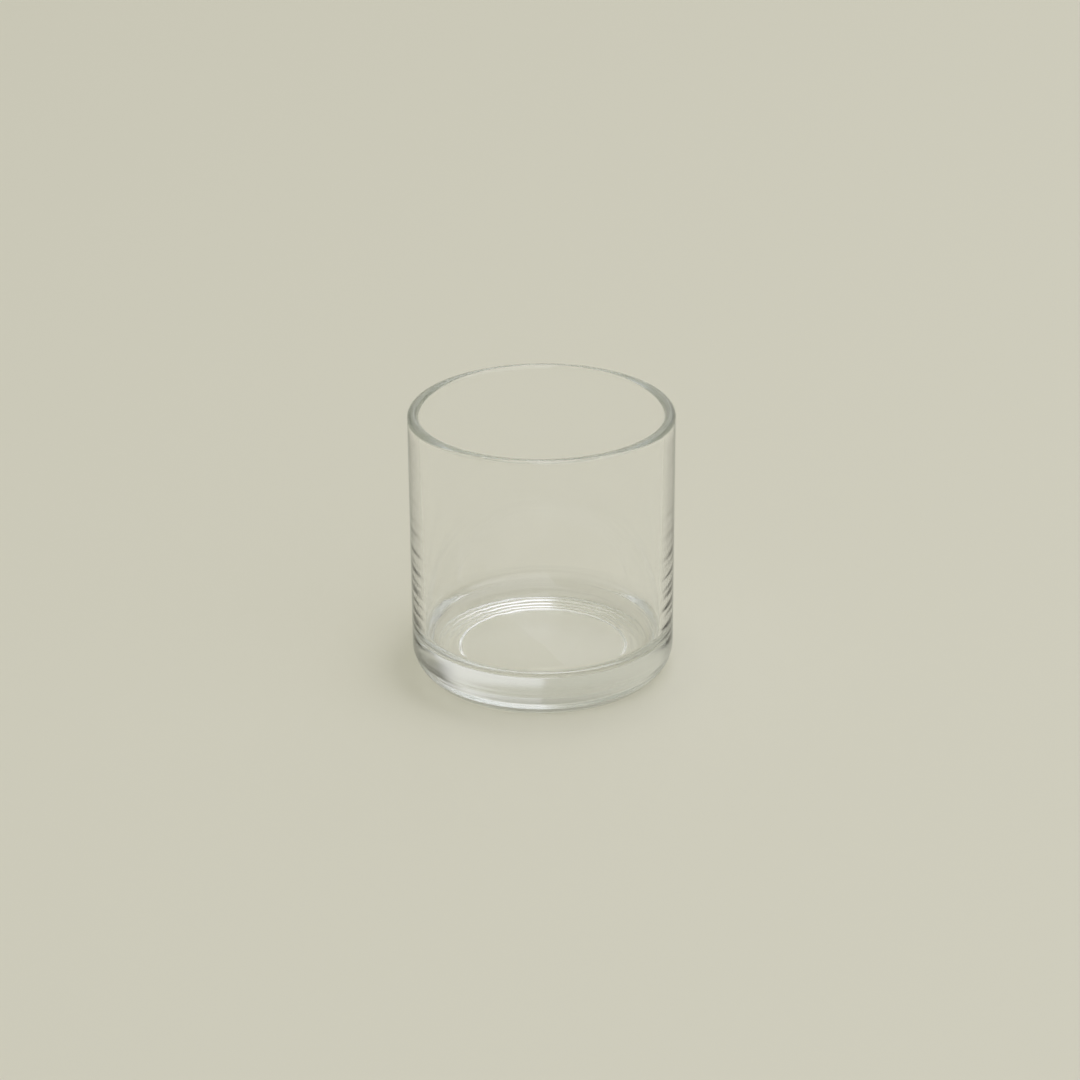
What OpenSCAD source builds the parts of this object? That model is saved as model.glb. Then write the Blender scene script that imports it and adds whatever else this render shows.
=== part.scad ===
/* [Overall] */
// Outside diameter across the lip
rim_d = 76; // [70:1:90]
// Height from the table to the top of the lip
height = 79.2; // [60:0.2:130]

/* [Wall] */
// Thickness of the fully rounded lip
lip_t = 3.2; // [2:0.1:4.5]
// Outside diameter where the wall runs into the heel
heel_d = 75.3; // [73:0.1:80]
// Thickness of the wall just above the floor fillet
wall_t = 3.6; // [2.4:0.1:5]

/* [Base] */
// Height of the inside floor above the table
floor_h = 10.8; // [8:0.2:16]
// Radius of the round between the floor and the inside wall
floor_fillet_r = 5.4; // [3:0.2:9]
// Radius of the heel, the outside round under the wall
heel_r = 10; // [9:0.25:11]
// Height at which the heel runs into the wall
heel_h = 8.65; // [6:0.05:8.7]

/* [Underside] */
// Diameter of the hollow inside the standing ring
hollow_d = 49.6; // [40:0.4:50]
// Depth of the hollow
hollow_depth = 0.6; // [0.3:0.1:1.2]
// Width of the slope round the hollow
hollow_slope = 0.8; // [0.4:0.1:1.6]

/* [Hidden] */
$fn = 180;

lip_r = lip_t / 2;
hollow_r = hollow_d / 2;
lip_c = [rim_d / 2 - lip_r, height - lip_r];
heel_c = [heel_d / 2 - heel_r, heel_h];
fillet_c = [heel_d / 2 - wall_t - floor_fillet_r, floor_h + floor_fillet_r];

// Half section of the outside, filled in: hollow, flat standing ring, round heel, straight wall and round lip
module outside_section() {
    polygon([
        [0, hollow_depth],
        [hollow_r - hollow_slope, hollow_depth],
        [hollow_r, 0],
        [heel_c.x, 0],
        [heel_c.x + heel_r, heel_c.y],
        [rim_d / 2, lip_c.y],
        [0, lip_c.y]
    ]);
    intersection() {
        translate(heel_c) circle(heel_r);
        translate([heel_c.x, 0]) square([heel_r, heel_h]);
    }
    translate(lip_c) circle(lip_r);
}

// Half section of the inside, from the floor up past the lip
module inside_section() {
    polygon([
        [0, floor_h],
        [fillet_c.x, floor_h],
        [fillet_c.x + floor_fillet_r, fillet_c.y],
        [lip_c.x - lip_r, lip_c.y],
        [lip_c.x - lip_r, height + lip_r],
        [0, height + lip_r]
    ]);
    translate(fillet_c) circle(floor_fillet_r);
}

// The glass, one piece of pressed clear glass
module tumbler() {
    color([0.86, 0.9, 0.87, 0.35]) rotate_extrude() difference() {
        outside_section();
        inside_section();
    }
}

tumbler();
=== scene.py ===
"""A clear pressed juice glass on a pale table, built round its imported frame. All lengths are in metres."""

import math

import bpy
from mathutils import Matrix, Vector


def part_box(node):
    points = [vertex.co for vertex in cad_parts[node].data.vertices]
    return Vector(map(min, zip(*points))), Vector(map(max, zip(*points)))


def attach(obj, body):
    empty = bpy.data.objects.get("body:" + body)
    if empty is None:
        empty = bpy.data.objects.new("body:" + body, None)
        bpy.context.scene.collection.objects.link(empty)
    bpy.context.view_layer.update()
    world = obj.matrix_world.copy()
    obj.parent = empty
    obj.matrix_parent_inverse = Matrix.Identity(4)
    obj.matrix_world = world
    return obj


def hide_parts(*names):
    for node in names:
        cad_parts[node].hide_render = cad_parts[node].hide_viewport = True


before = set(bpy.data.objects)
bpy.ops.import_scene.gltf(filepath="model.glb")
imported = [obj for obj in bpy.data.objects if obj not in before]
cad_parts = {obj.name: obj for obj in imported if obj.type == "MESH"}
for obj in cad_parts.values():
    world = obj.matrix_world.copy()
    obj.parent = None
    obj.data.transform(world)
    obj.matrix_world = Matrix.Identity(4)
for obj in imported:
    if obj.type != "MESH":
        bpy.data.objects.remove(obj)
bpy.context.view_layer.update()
glass_low, glass_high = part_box("tumbler")

MM = 0.001

# Sizes of the glass, as its solid has them
RIM_R = (glass_high.x - glass_low.x) / 2
HEIGHT = glass_high.z - glass_low.z
LIP_T = 3.2 * MM
HEEL_R = 37.65 * MM
WALL_T = 3.6 * MM
FLOOR_H = 10.8 * MM
FLOOR_FILLET = 5.4 * MM
HEEL_H = 8.65 * MM
HEEL_ROUND = 10.0 * MM
HOLLOW_R = 24.8 * MM
HOLLOW_STEP = 0.8 * MM
HOLLOW_DEPTH = 0.6 * MM
RING_R = HEEL_R - HEEL_ROUND + math.sqrt(HEEL_ROUND ** 2 - HEEL_H ** 2)

# Rounds of the lip and the heel, drawn just under full size, so that their arcs end before the next one
LIP_ROUND = 0.499 * LIP_T
HEEL_CORNER = 0.97 * HEEL_ROUND

# Small rounds at the outer edge of the standing ring and at the edges of the hollow
RING_EDGE = 0.15 * MM
HOLLOW_EDGE = 0.35 * MM

# Slight dip of the floor, and how far from level a point may be and still belong to it
FLOOR_SAG = 1.0 * MM
FLOOR_LEVEL = 0.001 * MM

# Fine rings that the mould leaves on the standing ring
RIDGES = 4
RIDGE_H = 0.065 * MM
RIDGE_ROUND = 2.0 * MM

# Fine turning marks round the heel
MARK_H = 0.025 * MM
MARK_PITCH = 2.2 * MM
MARK_SHARPNESS = 3

# Waves that pressing leaves in the lower wall: each one's length up the wall, share and phase
WAVES = ((5.6 * MM, 0.5, 0.4), (3.1 * MM, 0.8, 1.9), (1.9 * MM, 0.55, 4.0))
WAVE_H = 0.006 * MM
WAVE_TOP = 62 * MM

# How soon the waves grow above the heel, how fast they fade up the wall and how far they drift round it
WAVE_RISE = 0.125
WAVE_FALL = 1.3
WAVE_DRIFT = (0.8, 0.5)

# Resolution of the turned mesh
TURNS = 480
ARC_STEP = math.radians(1.5)
FEWEST_STEPS = 4
LONGEST_RUN = 0.7 * MM

# Clear glass: index of refraction, faint grey-green tint and density of that tint per metre
GLASS_IOR = 1.51
TINT = (0.35, 0.42, 0.35)
TINT_DENSITY = 4.0

# Painted shade on the steep edges of the outside wall, darkening the glass colour: where it starts, how dark
# it gets and the painted shade that the waves add as dark dashes
PAINTED_SHADE_START = 0.6
EDGE_PAINTED_SHADE = 0.72
WAVE_PAINTED_SHADE = 4.0

# Ground underside: how rough it is, how high up it reaches and where it starts to fade
WORN_ROUGHNESS = 0.13
WORN_TOP = 0.7 * MM
WORN_FADE = 0.9 * WORN_TOP

# Faint unevenness of the polished faces
SMEAR_ROUGHNESS = 0.012
SMEAR_SCALE = 180
SMEAR_RANGE = (0.5, 0.75)
BUMP_SCALE = 70
BUMP_H = 0.003 * MM

# Photograph's view: what the camera looks at, how far off it is and where that lands in the image
IMAGE = 1080
AIM_H = 40.4 * MM
CAMERA_DISTANCE = 1.105
CAMERA_RISE = math.radians(23.72)
CAMERA_ROLL = math.radians(-0.35)
PIXELS_PER_METRE = 3490.3
AIM_PIXEL = (542.15, 536.0)
SENSOR = 36
NEAREST_SEEN = 0.01

# Soft lights overhead, to the right of one long edge and turned with it: sides in x and y, and radiance
LIGHT_H = 2.85
LIGHT_TURN = math.radians(-2.5)
LIGHT_COLOR = (0.97, 0.98, 1.15)
LIGHTS = {
    "key": ((-0.29, 2.9), (-2.9, 0.3), 0.9),
    "wide": ((-0.29, 7.0), (-7.0, 0.3), 0.75),
    "fill": ((-0.29, 2.6), (0.3, 2.9), 0.75),
    "far": ((-0.29, 3.8), (2.9, 9.0), 0.25),
}
LIGHT_BOUNCES = 128

# Table
TABLE_COLOR = (0.65, 0.64, 0.545)
TABLE_ROUGHNESS = 0.9
TABLE_SPECULAR = 0.1
TABLE_R = 3.0
TABLE_SIDES = 96
TABLE_DROP = 0.02 * MM

# Brightness of each part of the room
ROOM_COLOR = (1.0, 0.978, 0.83)
ROOM_DARK = 0.03
ROOM_BACK = 0.4
ROOM_TOP = 0.65
ROOM_RIGHT = 0.12
HORIZON_SIDE = 0.46
HORIZON_BACK = 0.55

# Where one part of the room runs into the next, along a direction of length 1
BACK_FROM = (0.0, 0.6)
HORIZON_BACK_FROM = (0.3, 1.0)
HORIZON_TOP = (0.08, 0.12)
RIGHT_FROM = (0.45, 0.65)
RIGHT_TOP = (0.4, 0.5)
CEILING_FROM = (0.24, 0.36)


def limited(value):
    """The value, kept between 0 and 1."""
    return min(1, max(0, value))


def rounded(corners):
    """Points of an open line through corners (radius, height, round), with every round drawn as an arc."""
    points = [corners[0][:2]]
    for (ax, az, _), (bx, bz, turn), (cx, cz, _) in zip(corners, corners[1:], corners[2:]):
        to_a = math.hypot(ax - bx, az - bz)
        to_c = math.hypot(cx - bx, cz - bz)
        ux, uz = (ax - bx) / to_a, (az - bz) / to_a
        vx, vz = (cx - bx) / to_c, (cz - bz) / to_c
        half = math.acos(max(-1, min(1, ux * vx + uz * vz))) / 2
        reach = turn / math.sin(half) / math.hypot(ux + vx, uz + vz)
        mx, mz = bx + (ux + vx) * reach, bz + (uz + vz) * reach
        cut = turn / math.tan(half)
        start = math.atan2(bz + uz * cut - mz, bx + ux * cut - mx)
        end = math.atan2(bz + vz * cut - mz, bx + vx * cut - mx)
        sweep = (end - start + math.pi) % (2 * math.pi) - math.pi
        steps = max(FEWEST_STEPS, math.ceil(abs(sweep) / ARC_STEP))
        for i in range(steps + 1):
            angle = start + sweep * i / steps
            points.append((mx + turn * math.cos(angle), mz + turn * math.sin(angle)))
    points.append(corners[-1][:2])
    return points


def refined(points):
    """The same line with its long runs cut into shorter ones."""
    out = [points[0]]
    for x1, z1 in points[1:]:
        x0, z0 = out[-1]
        pieces = max(1, math.ceil(math.hypot(x1 - x0, z1 - z0) / LONGEST_RUN))
        for i in range(1, pieces + 1):
            out.append((x0 + (x1 - x0) * i / pieces, z0 + (z1 - z0) * i / pieces))
    return out


def ring_corners():
    """Corners of the fine ridges across the standing ring, from its outer edge inwards."""
    pitch = (RING_R - HOLLOW_R) / RIDGES
    corners = [(RING_R, 0, RING_EDGE)]
    for i in range(RIDGES):
        corners.append((RING_R - (i + 0.5) * pitch, RIDGE_H, RIDGE_ROUND))
        corners.append((RING_R - (i + 1) * pitch, 0, RIDGE_ROUND))
    return corners[:-1] + [(HOLLOW_R, 0, HOLLOW_EDGE)]


def dipped(point):
    """A point of the outline, lowered where it lies on the floor."""
    radius, height = point
    floor_r = HEEL_R - WALL_T - FLOOR_FILLET
    if radius < floor_r and abs(height - FLOOR_H) < FLOOR_LEVEL:
        height -= FLOOR_SAG * (1 - (radius / floor_r) ** 2)
    return radius, height


def marked(point):
    """A point of the outline, moved in or out by the turning marks where it lies on the heel."""
    radius, height = point
    if radius > RING_R and height < HEEL_H:
        angle = math.atan2(HEEL_H - height, radius - HEEL_R + HEEL_ROUND)
        mark = MARK_H * math.sin(2 * math.pi * angle * HEEL_ROUND / MARK_PITCH) ** MARK_SHARPNESS
        return radius - mark * math.cos(angle), max(0, height + mark * math.sin(angle))
    return point


def glass_outline():
    """Half section from the centre of the floor, over the lip and down to the centre of the hollow."""
    heel_reach = HEEL_ROUND * math.tan(math.asin(HEEL_H / HEEL_ROUND) / 2)
    corners = [
        (0, FLOOR_H, 0),
        (HEEL_R - WALL_T, FLOOR_H, FLOOR_FILLET),
        (RIM_R - LIP_T, HEIGHT, LIP_ROUND),
        (RIM_R, HEIGHT, LIP_ROUND),
        (HEEL_R, HEEL_H - heel_reach, HEEL_CORNER),
        *ring_corners(),
        (HOLLOW_R - HOLLOW_STEP, HOLLOW_DEPTH, HOLLOW_EDGE),
        (0, HOLLOW_DEPTH, 0),
    ]
    return [marked(dipped(point)) for point in refined(rounded(corners))]


def wave(height, turn):
    """Height of the pressing waves at a place on the outside wall, as a multiple of WAVE_H."""
    if height < HEEL_H or height > WAVE_TOP:
        return 0
    up = (height - HEEL_H) / (WAVE_TOP - HEEL_H)
    fade = min(1, up / WAVE_RISE) * (1 - up) ** WAVE_FALL
    total = 0
    for length, share, phase in WAVES:
        drift = sum(size * math.sin(n * (turn + phase)) for n, size in enumerate(WAVE_DRIFT, 1))
        total += share * math.sin(2 * math.pi * height / length + phase + drift)
    return fade * total


def painted_shade_at(height, waves):
    """How much painted shade a place on the outside gets at a steep angle, fading out at the lip and down
    the heel.
    """
    below_lip = limited((HEIGHT - LIP_T / 2 - height) / LIP_T)
    above_heel = limited(height / HEEL_H) ** 2
    return below_lip * above_heel * (EDGE_PAINTED_SHADE + WAVE_PAINTED_SHADE * max(0, waves))


def turned_mesh(name, outline):
    """Closed mesh of an outline turned round the vertical axis, on which it starts and ends."""
    top = max(range(len(outline)), key=lambda i: outline[i][1])
    verts = []
    painted_shades = []
    rings = []
    for i, (radius, height) in enumerate(outline):
        first = len(verts)
        if i in (0, len(outline) - 1):
            verts.append((0, 0, height))
            painted_shades.append(0)
            rings.append([first] * TURNS)
            continue
        outside = i > top
        for k in range(TURNS):
            turn = 2 * math.pi * k / TURNS
            waves = wave(height, turn) if outside else 0
            out = radius + WAVE_H * waves
            verts.append((out * math.cos(turn), out * math.sin(turn), height))
            # Painted shade for the steep edges and wave dashes of the outside wall, kept on each point
            painted_shades.append(painted_shade_at(height, waves) if outside else 0)
        rings.append(list(range(first, first + TURNS)))
    faces = []
    for low, high in zip(rings, rings[1:]):
        for k in range(TURNS):
            following = (k + 1) % TURNS
            face = (low[k], high[k], high[following], low[following])
            faces.append(tuple(dict.fromkeys(face)))
    mesh = bpy.data.meshes.new(name)
    mesh.from_pydata(verts, [], faces)
    mesh.polygons.foreach_set("use_smooth", [True] * len(mesh.polygons))
    mesh.attributes.new("painted_edge_shade", "FLOAT", "POINT").data.foreach_set("value", painted_shades)
    mesh.update()
    return mesh


def add_object(name, data):
    """A new object in the scene."""
    made = bpy.data.objects.new(name, data)
    bpy.context.scene.collection.objects.link(made)
    return made


def add_node(tree, kind, inputs, **settings):
    """A new node, each of whose inputs takes a plain value or another node's output."""
    node = tree.nodes.new(kind)
    for name, value in settings.items():
        setattr(node, name, value)
    for name, value in inputs.items():
        if isinstance(value, bpy.types.NodeSocket):
            tree.links.new(value, node.inputs[name])
        else:
            node.inputs[name].default_value = value
    return node


def new_material(name):
    """A node material, with its node tree and its main shader."""
    material = bpy.data.materials.new(name)
    material.use_nodes = True
    tree = material.node_tree
    return material, tree, tree.nodes["Principled BSDF"]


def steep_painted_shade(tree):
    """White, with painted shade where the outside wall is seen at a steep angle."""
    facing = add_node(tree, "ShaderNodeLayerWeight", {}).outputs["Facing"]
    steep = add_node(tree, "ShaderNodeMapRange", {"Value": facing, "From Min": PAINTED_SHADE_START})
    painted_edge_shade = add_node(tree, "ShaderNodeAttribute", {}, attribute_name="painted_edge_shade")
    painted_darkening_inputs = {0: steep.outputs["Result"], 1: painted_edge_shade.outputs["Fac"]}
    # Painted shade: how steeply the face is seen, times the amount kept on the mesh
    painted_darkening = add_node(tree, "ShaderNodeMath", painted_darkening_inputs, operation="MULTIPLY")
    light_inputs = {"Value": painted_darkening.outputs["Value"], "To Min": 1, "To Max": 0}
    light = add_node(tree, "ShaderNodeMapRange", light_inputs)
    # The shader takes the square root of the colour, as light crosses two faces
    squared = add_node(tree, "ShaderNodeMath", {0: light.outputs["Result"], 1: 2}, operation="POWER")
    return squared.outputs["Value"]


def surface_roughness(tree, place):
    """Faint smears, and a ground underside."""
    smear = add_node(tree, "ShaderNodeTexNoise", {"Vector": place, "Scale": SMEAR_SCALE})
    faint = add_node(tree, "ShaderNodeMapRange", {
        "Value": smear.outputs["Fac"],
        "From Min": SMEAR_RANGE[0],
        "From Max": SMEAR_RANGE[1],
        "To Max": SMEAR_ROUGHNESS,
    })
    split = add_node(tree, "ShaderNodeSeparateXYZ", {"Vector": place})
    worn = add_node(tree, "ShaderNodeMapRange", {
        "Value": split.outputs["Z"],
        "From Min": WORN_FADE,
        "From Max": WORN_TOP,
        "To Min": WORN_ROUGHNESS,
        "To Max": faint.outputs["Result"],
    })
    return worn.outputs["Result"]


def slight_swell(tree, place):
    """Normals of a slightly uneven face."""
    swell = add_node(tree, "ShaderNodeTexNoise", {"Vector": place, "Scale": BUMP_SCALE})
    bump = add_node(tree, "ShaderNodeBump", {"Height": swell.outputs["Fac"], "Distance": BUMP_H})
    return bump.outputs["Normal"]


def clear_glass():
    """Polished soda-lime glass with a faint tint, slight waviness and painted shade on its steep edges."""
    material, tree, shader = new_material("clear_glass")
    shader.inputs["IOR"].default_value = GLASS_IOR
    shader.inputs["Transmission Weight"].default_value = 1
    place = add_node(tree, "ShaderNodeTexCoord", {}).outputs["Object"]
    tree.links.new(steep_painted_shade(tree), shader.inputs["Base Color"])
    tree.links.new(surface_roughness(tree, place), shader.inputs["Roughness"])
    tree.links.new(slight_swell(tree, place), shader.inputs["Normal"])
    tint = add_node(tree, "ShaderNodeVolumeAbsorption", {"Color": (*TINT, 1), "Density": TINT_DENSITY})
    tree.links.new(tint.outputs["Volume"], tree.nodes["Material Output"].inputs["Volume"])
    return material


def table_top():
    """Matt pale table."""
    material, _, shader = new_material("table_top")
    shader.inputs["Base Color"].default_value = (*TABLE_COLOR, 1)
    shader.inputs["Roughness"].default_value = TABLE_ROUGHNESS
    shader.inputs["Specular IOR Level"].default_value = TABLE_SPECULAR
    return material


def make_glass():
    """The glass itself, which stands for its solid."""
    glass = add_object("glass_tumbler", turned_mesh("glass_tumbler", glass_outline()))
    glass.data.materials.append(clear_glass())
    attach(glass, "root")
    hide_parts("tumbler")


def make_table():
    """Round table top, just under the standing ring."""
    turns = [2 * math.pi * k / TABLE_SIDES for k in range(TABLE_SIDES)]
    rim = [(TABLE_R * math.cos(turn), TABLE_R * math.sin(turn), 0) for turn in turns]
    mesh = bpy.data.meshes.new("table")
    mesh.from_pydata(rim, [], [tuple(range(TABLE_SIDES))])
    table = add_object("table", mesh)
    table.location.z = -TABLE_DROP
    mesh.materials.append(table_top())


def soft_light(name, xs, ys, radiance):
    """Large soft light of a stated radiance, facing straight down, which the camera doesn't see."""
    width = xs[1] - xs[0]
    length = ys[1] - ys[0]
    light = bpy.data.lights.new(name, "AREA")
    light.shape = "RECTANGLE"
    light.color = LIGHT_COLOR
    light.size = width
    light.size_y = length
    light.energy = radiance * math.pi * width * length
    lamp = add_object(name, light)
    lamp.location = Matrix.Rotation(LIGHT_TURN, 4, "Z") @ Vector((sum(xs) / 2, sum(ys) / 2, LIGHT_H))
    lamp.rotation_euler = (0, 0, LIGHT_TURN)
    lamp.visible_camera = False


def make_lights():
    """The overhead lights."""
    for name, (xs, ys, radiance) in LIGHTS.items():
        soft_light(name, xs, ys, radiance)


def make_world():
    """Room with a light back wall, dark sides, a light ceiling and table tones at the horizon."""
    world = bpy.data.worlds.new("room")
    bpy.context.scene.world = world
    world.use_nodes = True
    tree = world.node_tree
    background = tree.nodes["Background"]
    background.inputs["Color"].default_value = (*ROOM_COLOR, 1)
    place = add_node(tree, "ShaderNodeTexCoord", {})
    split = add_node(tree, "ShaderNodeSeparateXYZ", {"Vector": place.outputs["Generated"]})

    def blend(axis, ends, first, second):
        """The first brightness, running into the second one between two places along an axis."""
        ramp_inputs = {"Value": split.outputs[axis], "From Min": ends[0], "From Max": ends[1]}
        ramp = add_node(tree, "ShaderNodeMapRange", ramp_inputs, interpolation_type="SMOOTHSTEP")
        mix_inputs = {"Factor": ramp.outputs["Result"], "A": first, "B": second}
        return add_node(tree, "ShaderNodeMix", mix_inputs).outputs["Result"]

    walls = blend("Y", BACK_FROM, ROOM_DARK, ROOM_BACK)
    horizon = blend("Y", HORIZON_BACK_FROM, HORIZON_SIDE, HORIZON_BACK)
    above_table = blend("Z", HORIZON_TOP, horizon, walls)
    right = blend("Z", RIGHT_TOP, ROOM_RIGHT, ROOM_TOP)
    ceiling = blend("X", RIGHT_FROM, ROOM_TOP, right)
    room = blend("Z", CEILING_FROM, above_table, ceiling)
    tree.links.new(room, background.inputs["Strength"])


def make_camera():
    """Camera at the photograph's place, turned and shifted to frame the glass as it does."""
    camera = bpy.data.cameras.new("camera")
    eye = add_object("camera", camera)
    back = CAMERA_DISTANCE * math.cos(CAMERA_RISE)
    up = AIM_H + CAMERA_DISTANCE * math.sin(CAMERA_RISE)
    tilt = Matrix.Rotation(math.pi / 2 - CAMERA_RISE, 4, "X")
    eye.matrix_world = Matrix.Translation((0, -back, up)) @ tilt @ Matrix.Rotation(CAMERA_ROLL, 4, "Z")
    camera.sensor_width = SENSOR
    camera.lens = SENSOR * PIXELS_PER_METRE * CAMERA_DISTANCE / IMAGE
    camera.shift_x = (IMAGE / 2 - AIM_PIXEL[0]) / IMAGE
    camera.shift_y = (AIM_PIXEL[1] - IMAGE / 2) / IMAGE
    camera.clip_start = NEAREST_SEEN
    bpy.context.scene.camera = eye


def set_render():
    """Plain view transform, and enough light bounces for thick glass."""
    scene = bpy.context.scene
    scene.view_settings.view_transform = "Standard"
    scene.cycles.max_bounces = LIGHT_BOUNCES
    scene.cycles.transmission_bounces = LIGHT_BOUNCES
    scene.cycles.glossy_bounces = LIGHT_BOUNCES
    scene.cycles.blur_glossy = 0


make_glass()
make_table()
make_lights()
make_world()
make_camera()
set_render()
